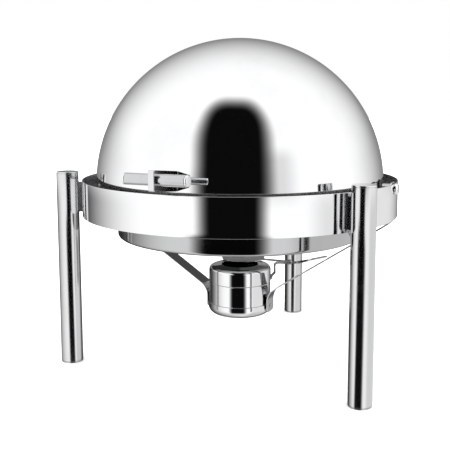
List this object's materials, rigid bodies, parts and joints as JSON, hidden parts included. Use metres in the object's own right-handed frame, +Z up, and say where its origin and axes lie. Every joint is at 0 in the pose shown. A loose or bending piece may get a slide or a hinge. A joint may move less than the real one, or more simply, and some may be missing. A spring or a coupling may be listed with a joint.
{
  "type": "roll top chafer",
  "caption": "Round buffet food warmer on legs, with a domed lid that rolls back inside its support band and a burner hung below the water pan.",
  "frame": {"origin": "on the floor under the centre of the support band", "axes": "+Z up; -Y is the front, where the lid's handle is; the lid's pivots lie along X"},
  "size_m": [0.444, 0.503, 0.446],
  "materials": {
    "mirror_steel": "mirror-polished stainless steel",
    "satin_steel": "satin stainless steel",
    "fastener_steel": "plain stainless fasteners",
    "nylon": "black nylon",
    "rubber": "black rubber"
  },
  "bodies": {
    "stand": {"support_band": "mirror_steel", "leg_left": "mirror_steel", "leg_right": "mirror_steel", "leg_rear": "mirror_steel", "leg_cap_left": "mirror_steel", "leg_cap_right": "mirror_steel", "leg_cap_rear": "mirror_steel", "leg_foot_left": "satin_steel", "leg_foot_right": "satin_steel", "leg_foot_rear": "satin_steel", "leg_nut_bar_left": "fastener_steel", "leg_nut_bar_right": "fastener_steel", "leg_nut_bar_rear": "fastener_steel", "leg_spacer_left": "satin_steel", "leg_spacer_right": "satin_steel", "leg_spacer_rear": "satin_steel", "leg_bolt_left_lower": "fastener_steel", "leg_bolt_left_upper": "fastener_steel", "leg_bolt_right_lower": "fastener_steel", "leg_bolt_right_upper": "fastener_steel", "leg_bolt_rear_lower": "fastener_steel", "leg_bolt_rear_upper": "fastener_steel", "pan_bracket_left": "satin_steel", "pan_bracket_right": "satin_steel", "lid_bumper_left": "rubber", "lid_bumper_right": "rubber", "pan_hanger_left": "satin_steel", "pan_hanger_right": "satin_steel", "pivot_bolt_left": "mirror_steel", "pivot_bolt_right": "mirror_steel", "pivot_spacer_left": "satin_steel", "pivot_spacer_right": "satin_steel", "pivot_washer_left": "nylon", "pivot_washer_right": "nylon", "pivot_nut_left": "fastener_steel", "pivot_nut_right": "fastener_steel", "burner_arm_left": "mirror_steel", "burner_arm_right": "mirror_steel", "cradle_rivet_left": "fastener_steel", "cradle_rivet_right": "fastener_steel", "burner_cradle": "mirror_steel"},
    "lid": {"lid_dome": "mirror_steel", "lid_bush_left": "nylon", "lid_bush_right": "nylon", "handle_bracket": "mirror_steel", "handle_grip": "satin_steel", "grip_cap_left": "satin_steel", "grip_cap_right": "satin_steel", "handle_screw_lower": "fastener_steel", "handle_screw_upper": "fastener_steel", "handle_washer_lower": "fastener_steel", "handle_washer_upper": "fastener_steel"},
    "water_pan": {"water_pan": "mirror_steel"},
    "food_pan": {"food_pan": "mirror_steel"},
    "burner_cup": {"burner_cup": "mirror_steel"},
    "burner_cover": {"burner_cover": "mirror_steel", "burner_handle": "mirror_steel", "burner_handle_rivet": "fastener_steel", "snuffer_rivet": "fastener_steel"},
    "snuffer": {"snuffer_lid": "satin_steel"}
  },
  "joints": [
    {"name": "lid_roll", "type": "hinge", "parent": "stand", "child": "lid", "pos_m": [0, 0, 0.248], "axis": [-1, 0, 0], "range_deg": [0, 70]},
    {"name": "water_pan_lift", "type": "slide", "parent": "stand", "child": "water_pan", "axis": [0, 0, 1], "range_m": [0, 0.022]},
    {"name": "food_pan_lift", "type": "slide", "parent": "water_pan", "child": "food_pan", "axis": [0, 0, 1], "range_m": [0, 0.03]},
    {"name": "burner_lift", "type": "slide", "parent": "stand", "child": "burner_cup", "axis": [0, 0, 1], "range_m": [0, 0.017]},
    {"name": "cover_lift", "type": "slide", "parent": "burner_cup", "child": "burner_cover", "axis": [0, 0, 1], "range_m": [0, 0.015]},
    {"name": "snuffer_swing", "type": "hinge", "parent": "burner_cover", "child": "snuffer", "pos_m": [0.06213, 0.03374, 0.133], "axis": [0, 0, -1], "range_deg": [-28, 40]}
  ]
}
